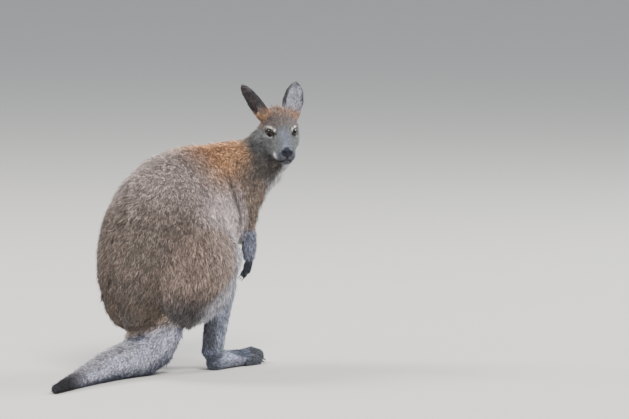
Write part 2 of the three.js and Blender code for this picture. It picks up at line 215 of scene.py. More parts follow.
for side, sign in sides.items():
    coatOf |= {
        f"thigh_{side}": dict(lie=(0.05 * sign, 0.35, -0.93), depth=8, hair=(13, 2.1, 5.8, 1.9), guard=(17, 1.4, 8, 3.4)),
        f"shin_{side}": dict(lie=(0, 0.25, -1), depth=2.4, hair=(10, 1.8, 3.4, 1.6), guard=(13, 1.3, 4, 3.6)),
        f"foot_{side}": dict(lie=(0, -1, -0.1), depth=1.4, hair=(7, 1.5, 1.8, 1.5), guard=(8, 1.2, 2.4, 5)),
        f"upper_arm_{side}": dict(lie=(0.15 * sign, 0.1, -1), depth=5.5, hair=(11, 1.9, 4.5, 1.7), guard=(16, 1.4, 6, 3.4)),
        f"forearm_{side}": dict(lie=(0.1 * sign, 0.1, -1), depth=0.9, hair=(9, 1.6, 2.6, 1.5), guard=(11, 1.2, 3.2, 4)),
        f"hand_{side}": dict(lie=(0, -0.1, -1), depth=1, hair=(5, 1.2, 1.1, 1.4), guard=(5, 1, 1, 0)),
        f"ear_{side}": dict(lie=earLie[side], depth=0.5, hair=(5, 1.1, 0.9, 1.35), guard=(5, 1, 1, 0)),
    }
    for toe in ("fourth_toe", "fifth_toe", "inner_toes"):
        coatOf[f"{toe}_{side}"] = dict(lie=(0, -1, -0.15), depth=1.2, hair=(5.5, 1.3, 1.3, 1.45), guard=(6, 1, 1, 0))
fleshNodes = list(coatOf)

# ---- One skin for all of the flesh
skinSizes = {"swell": 0.4, "voxel": 2.1, "bodyRounds": 60, "fillRounds": 160, "fillMost": 16, "fineRounds": 3, "steps": 3,
             "crease": 3.5, "faces": 150000}
stillNodes = [n for n in fleshNodes if n.startswith(("ear", "hand", "foot", "four", "fifth", "inner", "nose"))]
leanNodes = [n for n in fleshNodes if n.startswith(("forearm", "shin", "tail", "upper", "head"))]


def copyOfFlesh():
    deselectAll()
    copies = []
    for name in fleshNodes:
        copy = bpy.data.objects.new("skinPart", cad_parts[name].data.copy())
        bpy.context.scene.collection.objects.link(copy)
        copy.select_set(True)
        copies.append(copy)
    bpy.context.view_layer.objects.active = copies[0]
    bpy.ops.object.join()
    skin = bpy.context.object
    skin.name = "skin"
    skin.data.materials.clear()
    bpy.ops.object.mode_set(mode="EDIT")
    bpy.ops.mesh.select_all(action="SELECT")
    bpy.ops.mesh.remove_doubles(threshold=0.00005)
    bpy.ops.mesh.normals_make_consistent(inside=False)
    bpy.ops.object.mode_set(mode="OBJECT")
    return skin


def fleshTree():               # which node of the solid model lies nearest to a point
    points, faces, owner = [], [], []
    for index, name in enumerate(fleshNodes):
        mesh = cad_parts[name].data
        start = len(points)
        points += [tuple(v.co) for v in mesh.vertices]
        faces += [tuple(start + i for i in p.vertices) for p in mesh.polygons]
        owner += [index] * len(mesh.polygons)
    return BVHTree.FromPolygons(points, faces), np.array(owner)


tree, owner = fleshTree()


def nodeIndexAt(points):
    return owner[np.array([tree.find_nearest(Vector(p))[2] for p in points])]


def setGroup(piece, name, weights):
    group = piece.vertex_groups.new(name=name)
    levels = np.round(np.clip(weights, 0, 1) * 40).astype(int)
    for level in np.unique(levels):
        if level > 0:
            group.add(np.nonzero(levels == level)[0].tolist(), level / 40, "REPLACE")
    return group.name


def fillHollows(mesh, weights):        # rounds out the hollows where the weights are, and leaves the rises
    points, normal, edges = vertexArray(mesh), normalArray(mesh), edgeArray(mesh)
    inside = weights > 0.004
    number = np.cumsum(inside) - 1
    both = edges[inside[edges[:, 0]] & inside[edges[:, 1]]]
    even = spread(points[inside], number[both], skinSizes["fillRounds"])
    rise = np.sum((even - points[inside]) * normal[inside], axis=1)
    rise = np.clip(rise, 0, skinSizes["fillMost"] * mm) * weights[inside]
    points[inside] += normal[inside] * spread(rise, number[both], 6)[:, None]
    moveVertices(mesh, points)


def buildSkin():
    skin = copyOfFlesh()
    applyModifier(skin, "DISPLACE", strength=skinSizes["swell"] * mm, mid_level=0)
    applyModifier(skin, "REMESH", mode="VOXEL", voxel_size=skinSizes["voxel"] * mm, use_smooth_shade=True)
    mesh = skin.data
    print("skin remeshed", len(mesh.polygons))
    points, edges = vertexArray(mesh), edgeArray(mesh)
    near = nodeIndexAt(points)
    nodeDepth = np.array([coatOf[n]["depth"] for n in fleshNodes], float)

    def share(names, rounds):
        return spread(np.isin(near, [fleshNodes.index(n) for n in names]).astype(float), edges, rounds)

    still, lean = share(stillNodes, 6), share(leanNodes, 8)
    trunk = share(["rump", "abdomen", "chest"], 9)
    thighs, arms = share(["thigh_left", "thigh_right"], 9), share(["upper_arm_left", "upper_arm_right"], 9)
    legs = share([n for n in fleshNodes if n.startswith(("shin", "tail_root", "upper_arm", "neck"))], 70)
    hips = share(["rump", "abdomen", "chest", "thigh_left", "thigh_right"], 70)
    low = smoothStep(points[:, 2] / mm, 240, 190)      # where haunch, rump and tail run into each other
    fold = share(["thigh_left", "thigh_right"], 40) * share(["rump", "tail_root"], 40)
    joint = np.clip(4.4 * legs * hips + 5 * low * fold, 0, 1)
    local = inHead(points)
    onHead = (near == fleshNodes.index("head")) | (near == fleshNodes.index("nose"))
    depth = np.where(onHead, headDepth(local), nodeDepth[near])
    depth = spread(depth, edges, 40)
    deepest = depth.max()
    body = setGroup(skin, "body", (1 - still) * (1 - 0.93 * lean))
    whole = setGroup(skin, "whole", np.maximum(0.3, 1 - still))
    crease = setGroup(skin, "crease", np.clip((4 * thighs + 3 * arms) * trunk * (1 - low), 0, 1))
    coat = setGroup(skin, "coat", depth / deepest)
    groups = [body, whole, crease, coat]
    applyModifier(skin, "SMOOTH", factor=0.5, iterations=skinSizes["fineRounds"], vertex_group=whole)
    applyModifier(skin, "SMOOTH", factor=0.5, iterations=skinSizes["bodyRounds"], vertex_group=body)
    fillHollows(mesh, joint)
    applyModifier(skin, "DISPLACE", strength=-skinSizes["crease"] * mm, mid_level=0, vertex_group=crease)
    for _ in range(skinSizes["steps"]):
        applyModifier(skin, "DISPLACE", strength=-deepest * mm / skinSizes["steps"], mid_level=0, vertex_group=coat)
        applyModifier(skin, "SMOOTH", factor=0.5, iterations=4, vertex_group=body)
    applyModifier(skin, "DECIMATE", ratio=min(1, skinSizes["faces"] / (2 * len(skin.data.polygons))))
    print("skin thinned", len(skin.data.polygons))
    for group in groups:
        skin.vertex_groups.remove(skin.vertex_groups[group])
    return skin


# How far the face's skin lies under the tips of its hair, from the nose back to the crown.
faceHair = {"noseAt": -70, "crownAt": 44, "muzzle": 0.5, "crown": 5.0}


def headDepth(local):
    back = smoothStep(local[:, 1], faceHair["noseAt"] + 25, faceHair["crownAt"])
    deep = faceHair["muzzle"] + (faceHair["crown"] - faceHair["muzzle"]) * back
    return deep * eyeClear(local)


eyes = {"spread": 22, "back": -8.5, "up": 5.5, "radius": 12}


def eyeCentre(side):
    return np.array((eyes["spread"] * side, eyes["back"], eyes["up"]), float)


def eyeClear(local):           # nothing is taken off the skin right round the eyes
    near = np.minimum(np.linalg.norm(local - eyeCentre(1), axis=1), np.linalg.norm(local - eyeCentre(-1), axis=1))
    return smoothStep(near, 15, 25)


skin = buildSkin()

# ---- Lids, nostrils and mouth
lids = {"halfWide": 66, "upper": 30, "lower": 23, "tilt": 9, "thick": 1.1, "gaze": (0.76, -0.64, 0.1), "slope": 0.85}


def eyeAxes(side):             # the way it looks, towards the nose, and up
    gaze = unit(np.array(lids["gaze"]) * (side, 1, 1))
    along = unit(np.cross(gaze, (0, 0, 1)) * -side)
    up = np.cross(along, gaze)
    return gaze, along, up * np.sign(up[2])


def eyeAngles(local, side):    # where a point lies as seen from the middle of an eye, in degrees
    gaze, along, up = eyeAxes(side)
    way = local - eyeCentre(side)
    far = np.linalg.norm(way, axis=1)
    a = np.degrees(np.arctan2(way @ along, way @ gaze))
    b = np.degrees(np.arcsin(np.clip((way @ up) / np.maximum(far, 1e-6), -1, 1)))
    turn = math.radians(lids["tilt"])
    return a * math.cos(turn) + b * math.sin(turn), b * math.cos(turn) - a * math.sin(turn), far, way


def lidEdge(a, b):             # below 1 inside the opening, 1 on the rim
    across = np.abs(a) / lids["halfWide"]
    tall = np.where(b > 0, lids["upper"], lids["lower"])
    return np.sqrt(across ** 2.2 + (np.abs(b) / tall) ** 2)


def rimGap(local, side):       # millimetres from the edge of the lids, and below nothing in the opening
    gaze, along, up = eyeAxes(side)
    round_ = np.linspace(0, 2 * math.pi, 72, endpoint=False)
    a = lids["halfWide"] * np.sign(np.cos(round_)) * np.abs(np.cos(round_)) ** (1 / 1.1)
    b = np.where(np.sin(round_) > 0, lids["upper"], lids["lower"]) * np.sin(round_)
    turn = math.radians(lids["tilt"])
    a, b = np.radians(a * math.cos(turn) - b * math.sin(turn)), np.radians(b * math.cos(turn) + a * math.sin(turn))
    way = np.outer(np.cos(b) * np.cos(a), gaze) + np.outer(np.cos(b) * np.sin(a), along) + np.outer(np.sin(b), up)
    rim = eyeCentre(side) + way * (eyes["radius"] + lids["thick"])
    gap = np.full(len(local), 99.0)
    near = np.nonzero(np.linalg.norm(local - eyeCentre(side), axis=1) < 45)[0]
    gap[near] = np.min(np.linalg.norm(local[near][:, None] - rim[None], axis=2), axis=1)
    angles = eyeAngles(local, side)
    within = (lidEdge(angles[0], angles[1]) < 1) & (angles[2] < 26)
    return np.where(within, -gap, gap)


def refineNear(centres, reach):
    activate(skin)
    bpy.ops.object.mode_set(mode="EDIT")
    bpy.ops.mesh.select_mode(type="FACE")
    bpy.ops.mesh.select_all(action="DESELECT")
    shape = bmesh.from_edit_mesh(skin.data)
    for face in shape.faces:
        middle = face.calc_center_median()
        if any((middle - c).length < reach * mm for c in centres):
            face.select = True
    bmesh.update_edit_mesh(skin.data)
    bpy.ops.mesh.subdivide(number_cuts=1, smoothness=0)
    bpy.ops.mesh.select_all(action="DESELECT")
    bpy.ops.object.mode_set(mode="OBJECT")


def shapeLids():
    mesh = skin.data
    points = vertexArray(mesh)
    local = inHead(points)
    for side in (1, -1):
        gap = rimGap(local, side)
        _, _, far, way = eyeAngles(local, side)
        lidTop = eyes["radius"] + lids["thick"]
        raised = np.maximum(far, lidTop + (far - lidTop) * smoothStep(gap, 2.5, 8))
        capped = np.minimum(raised, lidTop + lids["slope"] * np.maximum(gap - 1.2, 0))
        target = np.where(gap < 0, eyes["radius"] - 2.5, capped)
        move = (gap < 16) & (far < 30) & (way @ eyeAxes(side)[0] > -3)
        local[move] = eyeCentre(side) + unit(way[move]) * target[move][:, None]
    moveVertices(mesh, headCentre + (local * mm) @ headAxes.T)


nose = {"at": (0, -76, -26), "size": (13.5, 12, 11.5), "nostril": (7, -77, -27.5), "nostrilSize": 2.9, "deep": 4.0,
        "mouth": [(0, -76, -45), (7, -74, -47), (13, -67, -49.5), (18, -56, -50), (21, -44, -47)],
        "cleft": [(0, -80, -38), (0, -77, -45)], "mouthDeep": 2.2, "whiskers": (20, -56, -36), "plump": 2.2}


def pathOnSkin(local, corners, between=14):      # the points of the skin nearest to a line through the corners
    spots = []
    for start, end in zip(corners, corners[1:]):
        for t in np.linspace(0, 1, between, endpoint=False):
            spots.append(np.array(start) * (1 - t) + np.array(end) * t)
    near = local[np.linalg.norm(local - nose["at"], axis=1) < 60]
    return np.array([near[np.argmin(np.linalg.norm(near - spot, axis=1))] for spot in spots])


def gapTo(path, local):        # distance to a path over the skin, and 99 far away from the muzzle
    gap = np.full(len(local), 99.0)
    close = np.nonzero(np.linalg.norm(local - nose["at"], axis=1) < 60)[0]
    gap[close] = np.min(np.linalg.norm(local[close][:, None] - path[None], axis=2), axis=1)
    return gap


def shapeMuzzle():
    mesh = skin.data
    points = vertexArray(mesh)
    local = inHead(points)
    inward = -normalArray(mesh) @ headAxes
    lines = [pathOnSkin(local, [np.array(p) * (side, 1, 1) for p in nose["mouth"]]) for side in (1, -1)]
    mouth = np.concatenate(lines + [pathOnSkin(local, nose["cleft"])])
    for side in (1, -1):
        place = np.array(nose["nostril"]) * (side, 1, 1)
        gap = np.linalg.norm((local - place) * (0.8, 0.8, 1.25), axis=1) / nose["nostrilSize"]
        local += inward * (nose["deep"] * np.exp(-gap ** 2))[:, None]
        swell = patchOn(local, np.array(nose["whiskers"]) * (side, 1, 1), (10, 14, 9))
        local -= inward * (nose["plump"] * swell)[:, None]
    gap = gapTo(mouth, local)
    lip = gapTo(np.concatenate(lines) + (0, 0, -5.5), local)
    local += inward * (nose["mouthDeep"] * np.exp(-(gap / 1.9) ** 2) - 1.0 * np.exp(-(lip / 3.5) ** 2))[:, None]
    moveVertices(mesh, headCentre + (local * mm) @ headAxes.T)
    return mouth


eyePlaces = [headPoint(*eyeCentre(s)) for s in (1, -1)]
refineNear(eyePlaces, 17)
refineNear(eyePlaces, 15)
refineNear([headPoint(0, -74, -30)], 22)
shapeLids()
mouthPath = shapeMuzzle()
activate(skin)
bpy.ops.object.shade_smooth()
print("lids and muzzle shaped", len(skin.data.polygons))

# ---- Markings, with painted light and shade: one tone for every point of the skin, which its tufts carry too
tones = {
    "back": (172, 157, 151), "rump": (124, 110, 101), "lowRump": (101, 88, 77), "nape": (190, 146, 107),
    "flank": (212, 197, 198), "belly": (184, 176, 168), "haunch": (156, 136, 124), "silver": (184, 182, 190),
    "shin": (148, 155, 172), "shinBack": (74, 75, 84), "under": (82, 76, 75), "heel": (66, 74, 90), "foot": (166, 169, 190), "toe": (34, 37, 48),
    "arm": (134, 118, 106), "armpit": (60, 55, 53), "backlitFringe": (200, 197, 201), "neckSide": (112, 95, 82), "forearm": (134, 138, 157), "hand": (26, 30, 42),
    "tailRoot": (200, 182, 168), "tail": (196, 196, 212), "tailTop": (150, 146, 150), "tailLow": (98, 101, 116), "tailTip": (44, 42, 46),
    "crown": (113, 80, 53), "forehead": (84, 68, 58), "cheek": (92, 94, 93), "bridge": (104, 108, 124),
    "brow": (244, 238, 232), "lip": (244, 243, 246), "nose": (21, 25, 38), "rim": (16, 14, 14), "chin": (62, 57, 56),
    "throat": (88, 82, 76), "muzzle": (70, 73, 84), "earBack": (56, 47, 42), "earRim": (38, 33, 33), "earIn": (146, 145, 158),
    "earInDarkFurAndShade": (84, 76, 76), "earFoot": (138, 106, 80),
}


def mixTones(base, name, share):
    share = np.clip(share, 0, 1)[:, None]
    return base * (1 - share) + tone(*tones[name]) * share


def paintHead(base, local, normal):
    x, y, z = local.T
    wide = np.abs(x)
    paint = np.tile(tone(*tones["cheek"]), (len(local), 1))
    paint = mixTones(paint, "forehead", smoothStep(z, -2, 16) * smoothStep(y, -34, -14))
    paint = mixTones(paint, "crown", smoothStep(z, 22, 38) * smoothStep(y, -8, 14))
    paint = mixTones(paint, "bridge", 0.95 * smoothStep(y, -24, -42) * smoothStep(z, -34, -16) * smoothStep(wide, 15, 4))
    # painted shade under the jaw: the throat and chin are painted darker
    paint = mixTones(paint, "throat", smoothStep(z, -30, -52) * smoothStep(y, -40, -10))
    paint = mixTones(paint, "chin", smoothStep(z, -42, -50) * smoothStep(y, -30, -50))
    paint = mixTones(paint, "muzzle", 0.8 * smoothStep(y, -50, -64) * smoothStep(z, -14, -30))
    for side in (1, -1):
        gap = rimGap(local, side)
        a, b, far, _ = eyeAngles(local, side)
        band = smoothStep(gap, 2.2, 3.4) * smoothStep(far, 34, 26) * (x * side > 0)
        paint = mixTones(paint, "brow", 0.9 * band * smoothStep(gap, 7.4, 5) * smoothStep(b, 14, 27) * smoothStep(a, 78, 48))
        paint = mixTones(paint, "brow", 0.26 * band * smoothStep(gap, 7, 4.4) * smoothStep(b, -12, -26))
        paint = mixTones(paint, "rim", smoothStep(gap, 3.9, 2.2))
        paint = mixTones(paint, "rim", patchOn(local, eyeCentre(side) + (-side * 3, -16, -4), (5, 5, 3)))
        paint = mixTones(paint, "rim", 0.9 * patchOn(local, eyeCentre(side) + (side * 14, 7, 1), (4, 5, 2.8)))
        paint = mixTones(paint, "lip", 1.6 * patchOn(local, (25 * side, -51, -39), (7, 9, 6)))
    return mixTones(paint, "nose", smoothStep(padGap(local), 1.1, 0.9))


def padGap(local):             # below 1 on the bare pad of the nose
    return np.linalg.norm((local - nose["at"]) / nose["size"], axis=1)


footBack = {"left": 44, "right": 0}      # how much further back each hind foot stands
shoulderAhead = {"left": 33, "right": 0}

# Each ear: its foot and tip, which way it opens and how broad it is, and the tone of its inside; the right ear's inside
# is dark fur with painted shade in its hollow.
earShapes = {"left": dict(foot=(25, 24, 28), tip=(39, 34, 110), turn=12, breadth=1.18, inside="earIn"),
             "right": dict(foot=(-29, 22, 30), tip=(-84, 34, 106), turn=-68, breadth=1, inside="earInDarkFurAndShade")}


def paintEar(side, local, normal):
    ear = earShapes[side]
    swing = math.radians(ear["turn"])
    facing = np.array((math.sin(swing), -math.cos(swing), 0))
    foot, axis = np.array(ear["foot"]), np.array(ear["tip"]) - np.array(ear["foot"])
    across = unit(np.cross(facing, axis))
    share = (local - foot) @ axis / (axis @ axis)
    half = np.interp(share, (0, 0.22, 0.5, 0.78, 0.94, 1), (15, 20, 22.5, 18, 10, 6)) * ear["breadth"]
    edge = np.abs((local - foot - share[:, None] * axis) @ across) / half
    paint = np.tile(tone(*tones["earBack"]), (len(local), 1))
    inner = smoothStep(normal @ facing, 0.1, 0.55)
    paint = mixTones(paint, ear["inside"], inner * smoothStep(share, 1.0, 0.82))
    paint = mixTones(paint, "earRim", smoothStep(edge, 0.62, 0.82) * smoothStep(share, 0.2, 0.45))
    return mixTones(paint, "earFoot", smoothStep(share + 0.12 * edge, 0.44, 0.16))


def paintCoat(points, normal, near):
    x, y, z = (points / mm - np.array(standsAt)).T
    is_ = {name: near == fleshNodes.index(name) for name in fleshNodes}
    paint = np.tile(tone(*tones["back"]), (len(points), 1))
    paint = mixTones(paint, "rump", smoothStep(y, -10, 110) * smoothStep(z, 440, 330))
    paint = mixTones(paint, "flank", smoothStep(y, 130, -20) * smoothStep(z, 430, 350) * smoothStep(z, 170, 240))
    # painted shade: the rump is painted darker towards its bottom
    paint = mixTones(paint, "lowRump", smoothStep(y, 50, 150) * smoothStep(z, 270, 170))
    nape = smoothStep(y, 64, -84) * smoothStep(z - 0.25 * np.maximum(0, -y - 90), 380, 458)
    paint = mixTones(paint, "nape", nape)
    paint = mixTones(paint, "belly", smoothStep(normal[:, 2], 0.0, -0.7) * smoothStep(y, 120, 60))
    under = smoothStep(normal[:, 1], -0.36, -0.66) * smoothStep(normal[:, 2], 0.45, 0.0)
    paint = mixTones(paint, "belly", under * smoothStep(y, 40, -40) * smoothStep(z, 120, 200))
    lower = smoothStep(y, -84, -128) * smoothStep(z, 476, 436) * smoothStep(z, 330, 370)
    paint = mixTones(paint, "neckSide", 0.8 * lower * (is_["neck"] | is_["chest"]))
    for side, sign in sides.items():
        thigh = is_[f"thigh_{side}"][:, None]
        paint = np.where(thigh, mixTones(paint, "haunch", np.full(len(x), 0.8)), paint)
        front = y - np.clip(60 - (z - 150) * 1.2, -34, 60)
        # painted shade: each haunch is painted darker towards its lower edge
        paint = np.where(thigh, mixTones(paint, "under", smoothStep(z, 212, 146)), paint)
        paint = np.where(thigh, mixTones(paint, "silver", smoothStep(front, 22, -14)), paint)
        leg = mixTones(np.tile(tone(*tones["shin"]), (len(x), 1)), "silver", smoothStep(normal[:, 1], 0.1, -0.8))
        # painted shade: the back of each shin is painted darker
        leg = mixTones(leg, "shinBack", smoothStep(normal[:, 1], 0.2, 0.8))
        leg = mixTones(leg, "heel", 0.8 * smoothStep(z, 66, 30))
        paint = np.where(is_[f"shin_{side}"][:, None], leg, paint)
        # painted shade: the underside of each foot is painted darker
        foot = mixTones(np.tile(tone(*tones["foot"]), (len(x), 1)), "shinBack", smoothStep(normal[:, 2], 0.2, -0.6))
        foot = mixTones(foot, "heel", 0.8 * smoothStep(y - footBack[side], -24, -2))
        foot = mixTones(foot, "toe", 0.85 * smoothStep(y - footBack[side], -80, -102))
        paint = np.where(is_[f"foot_{side}"][:, None], foot, paint)
        for part, name in (("fourth_toe", "toe"), ("fifth_toe", "toe"), ("inner_toes", "toe"),
                           ("upper_arm", "arm"), ("forearm", "forearm"), ("hand", "hand")):
            paint[is_[f"{part}_{side}"]] = tone(*tones[name])
        paint = np.where(is_[f"ear_{side}"][:, None], paintEar(side, inHead(points), normal @ headAxes), paint)
    tail = np.tile(tone(*tones["tail"]), (len(x), 1))
    tail = mixTones(tail, "tailTop", 0.8 * smoothStep(normal[:, 2], 0.55, 0.95) * smoothStep(y, 150, 220))
    # painted shade: the underside of the tail is painted darker
    tail = mixTones(tail, "tailLow", smoothStep(normal[:, 2], -0.05, -0.5))
    tail = mixTones(tail, "tailTip", smoothStep(y, 385, 495))
    root = mixTones(tail, "tailRoot", smoothStep(z + 0.41 * x, 78, 104))
    paint = np.where((is_["tail_middle"] | is_["tail_end"])[:, None], tail, paint)
    paint = np.where(is_["tail_root"][:, None], root, paint)
    return paint, is_


# painted shade: a dark band is painted along the fold behind each foreleg
def paintArmpitShade(paint, points):       # the dark fold behind each foreleg
    x, y, z = (points / mm - np.array(standsAt)).T
    for side, sign in sides.items():
        crease = y + 76 + shoulderAhead[side] + 28 * smoothStep(z, 405, 330)
        pit = np.exp(-(crease / 12) ** 2) * smoothStep(z, 290, 325) * smoothStep(z, 456, 418)
        paint = mixTones(paint, "armpit", 0.8 * pit * smoothStep(x * sign, 35, 60))
    return paint


def paintBacklitFringe(paint, points, normal, is_):   # painted light: the front of the neck and chest, where it turns forward and to the right, is painted pale as if lit from behind
    x, y, z = (points / mm - np.array(standsAt)).T
    front = smoothStep(normal @ unit(np.array((-0.5, -0.85, -0.1))), 0.2, 0.6)
    front = front * smoothStep(z, 230, 290) * smoothStep(z, 480, 446) * smoothStep(y, -146, -176)
    return mixTones(paint, "backlitFringe", front * (is_["neck"] | is_["chest"]))


def readSkin():                # everything the coat needs to know at each point of the skin
    mesh = skin.data
    points, normal, edges = vertexArray(mesh), normalArray(mesh), edgeArray(mesh)
    near = nodeIndexAt(points)
    local = inHead(points)
    onHead = (near == fleshNodes.index("head")) | (near == fleshNodes.index("nose"))
    back = smoothStep(local[:, 1], faceHair["noseAt"] + 12, faceHair["crownAt"] - 12)
    crown = smoothStep(local[:, 1], -8, 20) * smoothStep(local[:, 2], 22, 42)
    deep = headDepth(local)
    faceRows = {
        "hair": (2.6 + 6 * back + 7 * crown, 0.75 + 0.85 * back, deep + 0.5 + 5 * crown, 1.1 + 0.5 * back),
        "guard": (5 + 7 * back + 9 * crown, 0.7 + 0.5 * back, deep + 1 + 8 * crown, 4.6 - 1.6 * crown - 0.8 * back),
    }
    values = {}
    for kind in ("hair", "guard"):
        table = np.array([coatOf[n][kind] for n in fleshNodes], float)[near]
        table = np.where(onHead[:, None], np.stack(faceRows[kind], 1), table)
        table[:, 3] = np.where(table[:, 3] > 0, table[:, 3], 99) ** -2.0      # from room to tufts per mm2
        values[kind] = spread(table, edges, 36)
    lie = unit(np.array([coatOf[n]["lie"] for n in fleshNodes], float))[near]
    values["crown"] = crown * onHead
    lie = unit(spread(lie, edges, 60))
    gaps = {s: rimGap(local, s) for s in (1, -1)}
    for side, gap in gaps.items():      # the hair parts round each eye
        away = unit(local - eyeCentre(side)) @ headAxes.T
        lie = lie + away * (2.2 * smoothStep(gap, 9, 1))[:, None]
    values["lie"] = unit(lie)
    paint, is_ = paintCoat(points, normal, near)
    paint = paintArmpitShade(spread(paint, edges, 7), points)
    for side in sides:
        crisp = paintEar(side, local, normal @ headAxes)
        share = is_[f"ear_{side}"] * smoothStep(inHead(points)[:, 2], 48, 62)
        paint = paint * (1 - share[:, None]) + crisp * share[:, None]
    onHead = is_["head"] | is_["nose"]
    jowl = smoothStep(local[:, 0], -94, -50) * smoothStep(local[:, 2], 34, 10) * smoothStep(local[:, 1], 102, 48)
    onNeck = near == fleshNodes.index("neck")
    share = spread(np.where(onHead, 1.0, jowl * onNeck), edges, 8)[:, None]
    paint = paint * (1 - share) + paintHead(paint, local, normal) * share
    paint = paintBacklitFringe(paint, points, normal, is_)
    line = gapTo(mouthPath, local)
    paint = mixTones(paint, "rim", smoothStep(line, 3.0, 1.6) * onHead)
    gap = np.minimum(gaps[1], gaps[-1])
    lipLine = smoothStep(line, 2.4, 1.3) * onHead
    values["bare"] = np.clip(np.maximum.reduce([smoothStep(gap, 2.0, 1.4), smoothStep(padGap(local), 1.12, 0.95), lipLine]), 0, 1)
    values.update(points=points, normal=normal, near=near, paint=paint, edges=edges)
    return values


def addTone(mesh, name, colours):
    layer = mesh.color_attributes.new(name=name, type="FLOAT_COLOR", domain="POINT")
    full = np.ones((len(colours), 4), np.float32)
    full[:, :3] = colours
    layer.data.foreach_set("color", full.ravel())


# ---- Finishes
def newMaterial(name, roughness, **sockets):
    material = bpy.data.materials.new(name)
    material.use_nodes = True
    shader = material.node_tree.nodes["Principled BSDF"]
    shader.inputs["Roughness"].default_value = roughness
    for key, value in sockets.items():
        shader.inputs[key].default_value = value
    return material, material.node_tree.nodes, material.node_tree.links, shader


def noiseAt(nodes, links, scale, detail=2.0, stretch=(1, 1, 1)):
    place = nodes.new("ShaderNodeTexCoord")
    mapping = nodes.new("ShaderNodeMapping")
    mapping.inputs["Scale"].default_value = stretch
    noise = nodes.new("ShaderNodeTexNoise")
    noise.inputs["Scale"].default_value = scale
    noise.inputs["Detail"].default_value = detail
    links.new(place.outputs["Object"], mapping.inputs["Vector"])
    links.new(mapping.outputs["Vector"], noise.inputs["Vector"])
    return noise


def hairMaterial(name, grain, low, high, roughness, bump, **sockets):
    material, nodes, links, shader = newMaterial(name, roughness, **sockets)
    paint = nodes.new("ShaderNodeAttribute")
    paint.attribute_name = "coatTone"
    noise = noiseAt(nodes, links, grain)
    patch = noiseAt(nodes, links, 34, 3.0)
    ramp = nodes.new("ShaderNodeMapRange")
    ramp.inputs["To Min"].default_value, ramp.inputs["To Max"].default_value = low, high
    ramp.inputs["From Min"].default_value, ramp.inputs["From Max"].default_value = 0.25, 0.75
    wide = nodes.new("ShaderNodeMapRange")
    wide.inputs["To Min"].default_value, wide.inputs["To Max"].default_value = 0.86, 1.14
    wide.inputs["From Min"].default_value, wide.inputs["From Max"].default_value = 0.3, 0.7
    links.new(noise.outputs["Fac"], ramp.inputs["Value"])
    links.new(patch.outputs["Fac"], wide.inputs["Value"])
    both = nodes.new("ShaderNodeMath")
    both.operation = "MULTIPLY"
    links.new(ramp.outputs["Result"], both.inputs[0])
    links.new(wide.outputs["Result"], both.inputs[1])
    mixer = nodes.new("ShaderNodeVectorMath")
    mixer.operation = "SCALE"
    links.new(paint.outputs["Color"], mixer.inputs[0])
    links.new(both.outputs["Value"], mixer.inputs["Scale"])
    links.new(mixer.outputs["Vector"], shader.inputs["Base Color"])
    height = nodes.new("ShaderNodeBump")
    height.inputs["Strength"].default_value = bump
    height.inputs["Distance"].default_value = 0.0006
    links.new(noise.outputs["Fac"], height.inputs["Height"])
    links.new(height.outputs["Normal"], shader.inputs["Normal"])
    return material, nodes, links, shader


def skinMaterial():
    material, nodes, links, shader = hairMaterial("skinAndDown", 1100, 0.72, 1.25, 0.9, 0.5, **{"Specular IOR Level": 0.25})
    bare = nodes.new("ShaderNodeAttribute")
    bare.attribute_name = "bare"
    gloss = nodes.new("ShaderNodeMapRange")
    gloss.inputs["To Min"].default_value, gloss.inputs["To Max"].default_value = 0.9, 0.38
    links.new(bare.outputs["Fac"], gloss.inputs["Value"])
    links.new(gloss.outputs["Result"], shader.inputs["Roughness"])
    return material


coatMaterial = hairMaterial("guardHair", 700, 0.7, 1.3, 0.72, 0.25,
                            **{"Specular IOR Level": 0.3, "Sheen Weight": 0.25, "Sheen Roughness": 0.5,
                               "Sheen Tint": (0.86, 0.9, 1.0, 1)})[0]
values = readSkin()
addTone(skin.data, "coatTone", values["paint"])
bareLayer = skin.data.attributes.new("bare", "FLOAT", "POINT")
bareLayer.data.foreach_set("value", values["bare"].astype(np.float32))
skin.data.materials.append(skinMaterial())
activate(skin)
bpy.ops.object.mode_set(mode="EDIT")
bpy.ops.mesh.select_all(action="SELECT")
bpy.ops.uv.smart_project(angle_limit=math.radians(66), island_margin=0.002)
bpy.ops.object.mode_set(mode="OBJECT")
skin.data.uv_layers[0].name = "OFBake"
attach(skin, "root")
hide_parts(*fleshNodes)
print("skin painted and unwrapped")

# ---- The coat: tufts rooted on the skin, each a thin curved spike
coat = {"seed": 11, "clumpEvery": 5, "clumpPull": 0.26, "yaw": 17, "lengthSpread": 0.24, "toneSpread": 0.56,
        "clumpTone": 0.38, "rootTone": 0.38, "midTone": 0.74, "tipTone": 2.1, "paleShare": 0.28, "darkShare": 0.3,
        "patch": 0.003, "sink": 0.6, "lowest": 0.0003}
chance = np.random.default_rng(coat["seed"])


